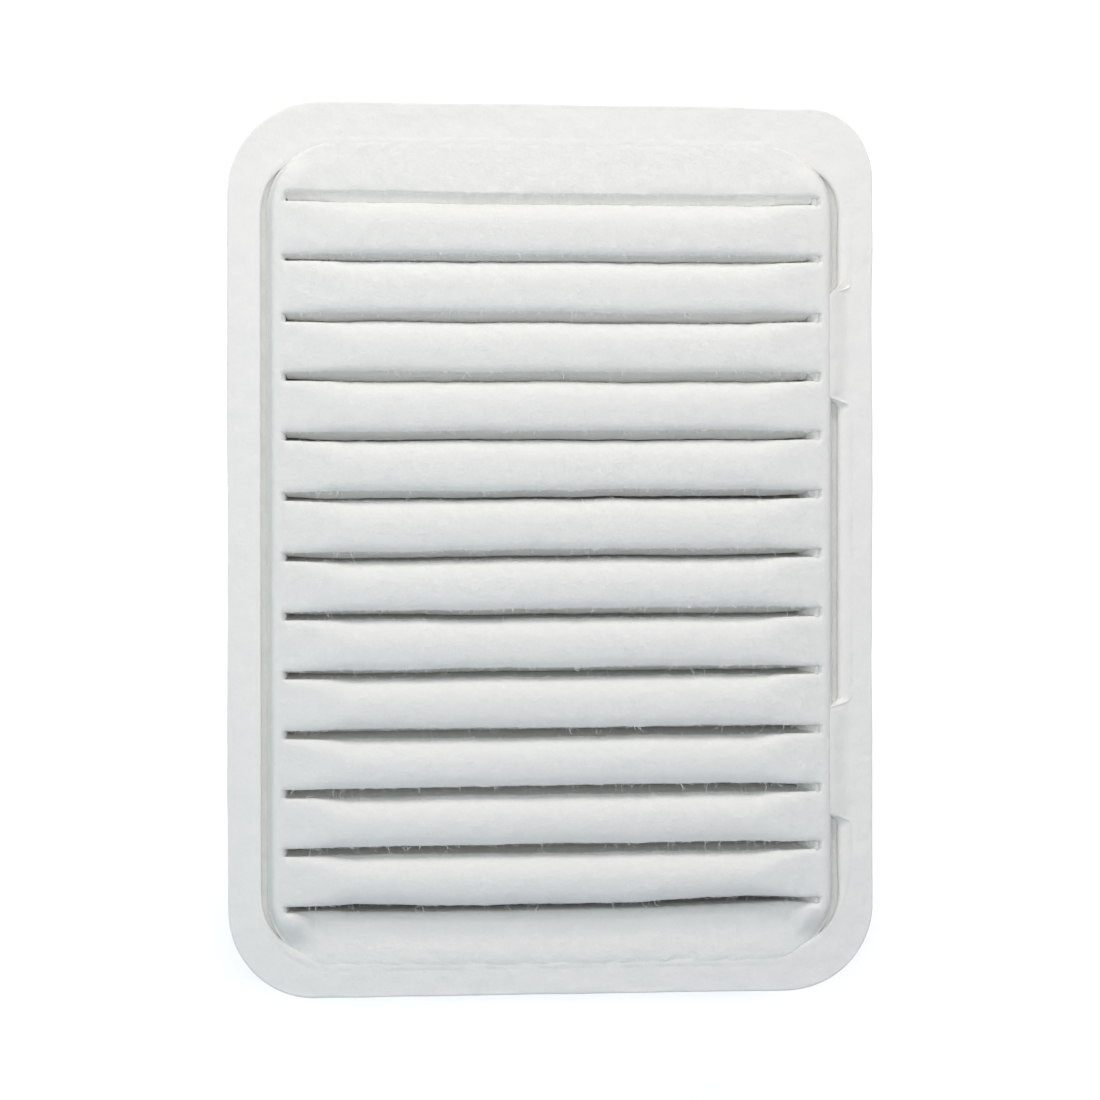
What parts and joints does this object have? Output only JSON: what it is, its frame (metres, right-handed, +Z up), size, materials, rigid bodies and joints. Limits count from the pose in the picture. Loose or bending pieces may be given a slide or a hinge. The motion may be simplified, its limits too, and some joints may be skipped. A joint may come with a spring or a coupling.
{
  "type": "air filter",
  "caption": "Rectangular panel air filter: pleated white felt medium hung in a flat felt sealing rim with rounded corners.",
  "frame": {"origin": "middle of the footprint, on the plane of the lower pleat tips", "axes": "+X along the pleats, +Y across the pleats along the rim's long side, +Z up towards the dust side, which the rim is near"},
  "size_m": [0.208, 0.285, 0.05],
  "materials": {
    "coarse_felt": "soft white needled polyester felt",
    "dense_felt": "smoother, heat-pressed white felt",
    "rim_felt": "pressed white felt",
    "hot_melt": "translucent cream adhesive"
  },
  "bodies": {
    "root": {"media_coarse_layer": "coarse_felt", "media_middle_layer": "coarse_felt", "media_fine_layer": "dense_felt", "left_side_band": "dense_felt", "right_side_band": "dense_felt", "left_glue_seam": "hot_melt", "right_glue_seam": "hot_melt", "flange_top_ply": "rim_felt", "flange_base_ply": "rim_felt", "flange_bond": "hot_melt"}
  },
  "joints": []
}
